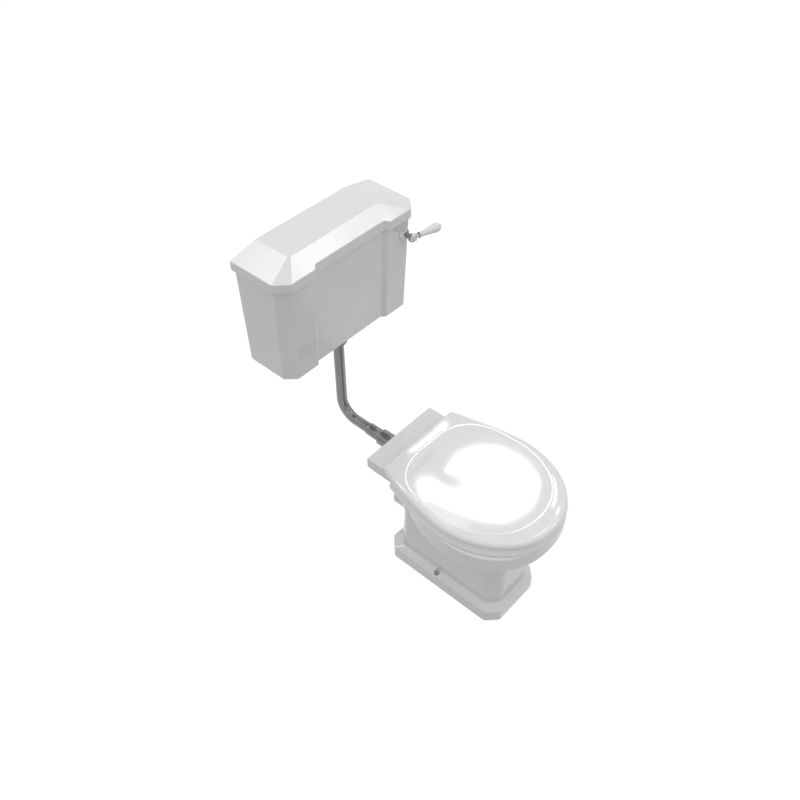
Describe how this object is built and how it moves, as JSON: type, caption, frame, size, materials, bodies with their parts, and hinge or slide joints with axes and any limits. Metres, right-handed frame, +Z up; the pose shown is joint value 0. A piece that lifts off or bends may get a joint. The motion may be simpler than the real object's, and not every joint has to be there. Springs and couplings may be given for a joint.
{
  "type": "low level toilet",
  "caption": "Floor-standing toilet pan with a hinged seat and lid, a wall cistern joined by a short bent flush pipe, and a side lever with a ceramic handle.",
  "frame": {"origin": "on the floor, midway between the two screw holes of the pan's foot", "axes": "+Y points to the wall behind, the seat opens towards it, +Z up, +X to the right seen from the front"},
  "size_m": [0.5725, 0.888, 1.0311],
  "materials": {
    "pan_ceramic": "glossy white glaze",
    "cistern_ceramic": "glossy white glaze",
    "handle_ceramic": "glossy white glaze",
    "seat_plastic": "high gloss white",
    "buffer_rubber": "soft satin off-white",
    "black_rubber": "matt black",
    "nut_plastic": "satin white",
    "siphon_plastic": "satin grey",
    "float_plastic": "satin white",
    "hinge_chrome": "polished",
    "lever_chrome": "polished",
    "pipe_chrome": "polished",
    "brass": "turned"
  },
  "bodies": {
    "toilet": {"pan": "pan_ceramic", "cistern_body": "cistern_ceramic", "hinge_posts": "hinge_chrome", "hinge_pins": "hinge_chrome", "hinge_bolts": "brass", "hinge_washers": "black_rubber", "hinge_wing_nuts": "nut_plastic", "lever_rosette": "lever_chrome", "lever_bush": "brass", "lever_bush_nut": "brass", "siphon_body": "siphon_plastic", "siphon_washer": "black_rubber", "siphon_back_nut": "siphon_plastic", "pipe_nut": "pipe_chrome", "pipe_seal": "black_rubber", "flush_pipe": "pipe_chrome", "pipe_sleeve": "pipe_chrome", "pipe_collar": "pipe_chrome", "flush_cone": "black_rubber", "valve_body": "brass", "valve_washer": "black_rubber", "valve_back_nut": "brass", "arm_pin": "brass"},
    "seat": {"seat_ring": "seat_plastic", "seat_buffers": "buffer_rubber"},
    "cover": {"seat_lid": "seat_plastic", "lid_buffers": "buffer_rubber"},
    "lever": {"lever_spindle": "brass", "lever_hub": "lever_chrome", "lever_collar": "lever_chrome", "lever_handle": "handle_ceramic", "lever_end_cap": "lever_chrome", "lever_inner_arm": "brass"},
    "lifter": {"lift_link": "brass", "siphon_rod": "brass", "siphon_plate": "siphon_plastic", "siphon_diaphragm": "black_rubber"},
    "float": {"float_arm": "brass", "float_ball": "float_plastic"},
    "piston": {"valve_piston": "brass"},
    "cistern_cover": {"cistern_lid": "cistern_ceramic"}
  },
  "joints": [
    {"name": "seat_hinge", "type": "hinge", "parent": "toilet", "child": "seat", "pos_m": [0, 0.15, 0.43], "axis": [-1, 0, 0], "range_deg": [0, 100]},
    {"name": "lid_hinge", "type": "hinge", "parent": "seat", "child": "cover", "pos_m": [0, 0.15, 0.43], "axis": [1, 0, 0], "range_deg": [-100, 0]},
    {"name": "lever_turn", "type": "hinge", "parent": "toilet", "child": "lever", "pos_m": [0.2, 0.395, 0.939], "axis": [0, 1, 0], "range_deg": [0, 25]},
    {"name": "siphon_lift", "type": "slide", "parent": "toilet", "child": "lifter", "axis": [0, 0, 1], "range_m": [0, 0.057]},
    {"name": "float_swing", "type": "hinge", "parent": "toilet", "child": "float", "pos_m": [-0.177, 0.49, 0.868], "axis": [0, -1, 0], "range_deg": [-50, 0]},
    {"name": "piston_slide", "type": "slide", "parent": "toilet", "child": "piston", "axis": [1, 0, 0], "range_m": [0, 0.004]},
    {"name": "cistern_lid_lift", "type": "slide", "parent": "toilet", "child": "cistern_cover", "axis": [0, 0, 1], "range_m": [0, 0.08]}
  ],
  "couplings": [
    {"joint": "siphon_lift", "follows": "lever_turn", "m_per_rad": 0.13057},
    {"joint": "piston_slide", "follows": "float_swing", "m_per_rad": -0.00458}
  ]
}
